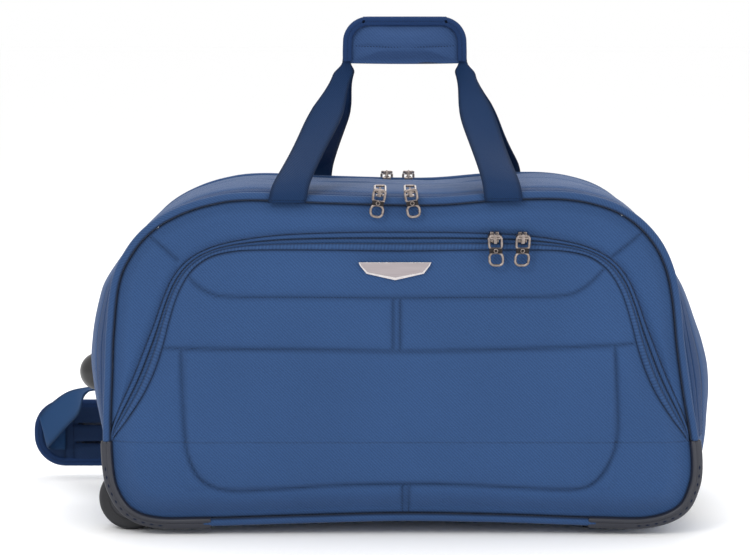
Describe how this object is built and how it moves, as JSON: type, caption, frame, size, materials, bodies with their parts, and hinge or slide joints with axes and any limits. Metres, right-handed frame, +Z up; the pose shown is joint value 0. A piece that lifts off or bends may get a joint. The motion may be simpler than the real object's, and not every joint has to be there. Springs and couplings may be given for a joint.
{
  "type": "wheeled travel holdall",
  "caption": "Soft wheeled travel holdall with U-shaped front pocket, hinged carry handles with hand wrap, shoulder strap, corner guards and a pull-out trolley handle.",
  "frame": {"origin": "on the floor, under the middle of the overall bounding box", "axes": "+X towards the trolley grip end (wheels at -X), +Y towards the back, +Z up; the front pocket faces -Y"},
  "size_m": [0.7437, 0.3658, 0.518],
  "materials": {
    "body_fabric": "blue ballistic weave, matte",
    "piping_fabric": "self fabric over cord",
    "webbing": "dark blue woven webbing",
    "pad_fabric": "padded navy fabric",
    "wrap_fabric": "padded blue fabric with bound edge",
    "zip_tape": "zip tape and coil",
    "antique_metal": "antique silver, polished edges",
    "badge_metal": "satin silver",
    "guard_rubber": "moulded black rubber",
    "black_plastic": "moulded black plastic",
    "tyre": "solid black tyre",
    "hub_plastic": "dark grey plastic",
    "axle_steel": "steel",
    "tube_metal": "anodised tube",
    "button_plastic": "grey plastic",
    "board": "ribbed plastic board",
    "ring_steel": "antique silver wire"
  },
  "bodies": {
    "bag": {"left_end_panel": "body_fabric", "right_end_panel": "body_fabric", "bottom_panel": "body_fabric", "top_panel": "body_fabric", "rear_panel": "body_fabric", "lower_front_panel": "body_fabric", "main_zip_back_tape": "zip_tape", "bag_piping": "piping_fabric", "corner_guards": "guard_rubber", "lower_pocket_panel": "body_fabric", "raised_panel_lower": "body_fabric", "wheel_housings": "black_plastic", "axles": "axle_steel", "rest_feet": "black_plastic", "stand_foot": "black_plastic", "base_board": "board", "base_tray": "board", "outer_tubes": "tube_metal", "tube_collars": "black_plastic", "trolley_cup": "black_plastic", "rear_sliders": "antique_metal", "ring_tabs": "webbing", "d_rings": "ring_steel"},
    "front_wheel": {"tyre_front": "tyre", "hub_front": "hub_plastic"},
    "rear_wheel": {"tyre_rear": "tyre", "hub_rear": "hub_plastic"},
    "trolley": {"inner_tubes": "tube_metal", "glide_plugs": "black_plastic", "trolley_grip": "black_plastic"},
    "release": {"release_button": "button_plastic", "push_rods": "tube_metal"},
    "front_wall": {"front_panel": "body_fabric", "front_gusset": "body_fabric", "main_zip_front_tape": "zip_tape", "front_rim_piping": "piping_fabric", "pocket_zip_tape": "zip_tape"},
    "pocket_flap": {"pocket_panel": "body_fabric", "pocket_gusset": "body_fabric", "pocket_piping": "piping_fabric", "raised_panel_upper": "body_fabric", "badge": "badge_metal"},
    "front_handle": {"front_handle_webbing": "webbing", "front_wrap_leaf": "wrap_fabric"},
    "rear_handle": {"rear_handle_webbing": "webbing", "rear_wrap_leaf": "wrap_fabric"},
    "main_slider_left": {"main_slider_left": "antique_metal"},
    "main_slider_right": {"main_slider_right": "antique_metal"},
    "main_pull_left": {"main_pull_left": "antique_metal"},
    "main_pull_right": {"main_pull_right": "antique_metal"},
    "pocket_slider_left": {"pocket_slider_left": "antique_metal"},
    "pocket_slider_right": {"pocket_slider_right": "antique_metal"},
    "pocket_pull_left": {"pocket_pull_left": "antique_metal"},
    "pocket_pull_right": {"pocket_pull_right": "antique_metal"},
    "rear_pull_left": {"rear_pull_left": "antique_metal"},
    "rear_pull_right": {"rear_pull_right": "antique_metal"},
    "shoulder_strap": {"snap_hooks": "ring_steel", "strap_webbing": "webbing", "shoulder_pad": "pad_fabric", "strap_adjuster": "black_plastic"}
  },
  "joints": [
    {"name": "front_wheel_spin", "type": "hinge", "parent": "bag", "child": "front_wheel", "pos_m": [-0.22846, -0.12515, 0.033], "axis": [0, 1, 0], "continuous": true},
    {"name": "rear_wheel_spin", "type": "hinge", "parent": "bag", "child": "rear_wheel", "pos_m": [-0.22846, 0.09885, 0.033], "axis": [0, 1, 0], "continuous": true},
    {"name": "trolley_slide", "type": "slide", "parent": "bag", "child": "trolley", "axis": [1, 0, 0], "range_m": [0, 0.42]},
    {"name": "release_press", "type": "slide", "parent": "trolley", "child": "release", "axis": [-1, 0, 0], "range_m": [0, 0.003], "stiffness_N_per_m": 400},
    {"name": "front_wall_fold", "type": "hinge", "parent": "bag", "child": "front_wall", "pos_m": [0.04454, -0.18315, 0.096], "axis": [1, 0, 0], "range_deg": [0, 70]},
    {"name": "pocket_fold", "type": "hinge", "parent": "front_wall", "child": "pocket_flap", "pos_m": [0.04454, -0.18315, 0.096], "axis": [1, 0, 0], "range_deg": [0, 40]},
    {"name": "front_handle_swing", "type": "hinge", "parent": "front_wall", "child": "front_handle", "pos_m": [0.04454, -0.16115, 0.353], "axis": [1, 0, 0], "range_deg": [0, 130]},
    {"name": "rear_handle_swing", "type": "hinge", "parent": "bag", "child": "rear_handle", "pos_m": [0.04454, 0.13485, 0.353], "axis": [-1, 0, 0], "range_deg": [0, 130]},
    {"name": "main_slider_left_run", "type": "slide", "parent": "front_wall", "child": "main_slider_left", "axis": [-1, 0, 0], "range_m": [0, 0.04]},
    {"name": "main_pull_left_lift", "type": "hinge", "parent": "main_slider_left", "child": "main_pull_left", "pos_m": [0.02454, -0.14315, 0.3541], "axis": [-1, 0, 0], "range_deg": [0, 100]},
    {"name": "pocket_slider_left_run", "type": "slide", "parent": "pocket_flap", "child": "pocket_slider_left", "axis": [-1, 0, 0], "range_m": [0, 0.2]},
    {"name": "pocket_pull_left_lift", "type": "hinge", "parent": "pocket_slider_left", "child": "pocket_pull_left", "pos_m": [0.13854, -0.16775, 0.304], "axis": [-1, 0, 0], "range_deg": [0, 100]},
    {"name": "rear_pull_left_lift", "type": "hinge", "parent": "bag", "child": "rear_pull_left", "pos_m": [0.03254, 0.11685, 0.3561], "axis": [1, 0, 0], "range_deg": [0, 100]},
    {"name": "main_slider_right_run", "type": "slide", "parent": "front_wall", "child": "main_slider_right", "axis": [1, 0, 0], "range_m": [0, 0.04]},
    {"name": "main_pull_right_lift", "type": "hinge", "parent": "main_slider_right", "child": "main_pull_right", "pos_m": [0.05454, -0.14315, 0.3541], "axis": [-1, 0, 0], "range_deg": [0, 100]},
    {"name": "pocket_slider_right_run", "type": "slide", "parent": "pocket_flap", "child": "pocket_slider_right", "axis": [1, 0, 0], "range_m": [0, 0.04]},
    {"name": "pocket_pull_right_lift", "type": "hinge", "parent": "pocket_slider_right", "child": "pocket_pull_right", "pos_m": [0.16654, -0.16775, 0.304], "axis": [-1, 0, 0], "range_deg": [0, 100]},
    {"name": "rear_pull_right_lift", "type": "hinge", "parent": "bag", "child": "rear_pull_right", "pos_m": [0.05654, 0.11685, 0.3561], "axis": [1, 0, 0], "range_deg": [0, 100]},
    {"name": "shoulder_strap_swing", "type": "hinge", "parent": "bag", "child": "shoulder_strap", "pos_m": [0.04454, 0.06685, 0.14], "axis": [1, 0, 0], "range_deg": [0, 45]}
  ]
}
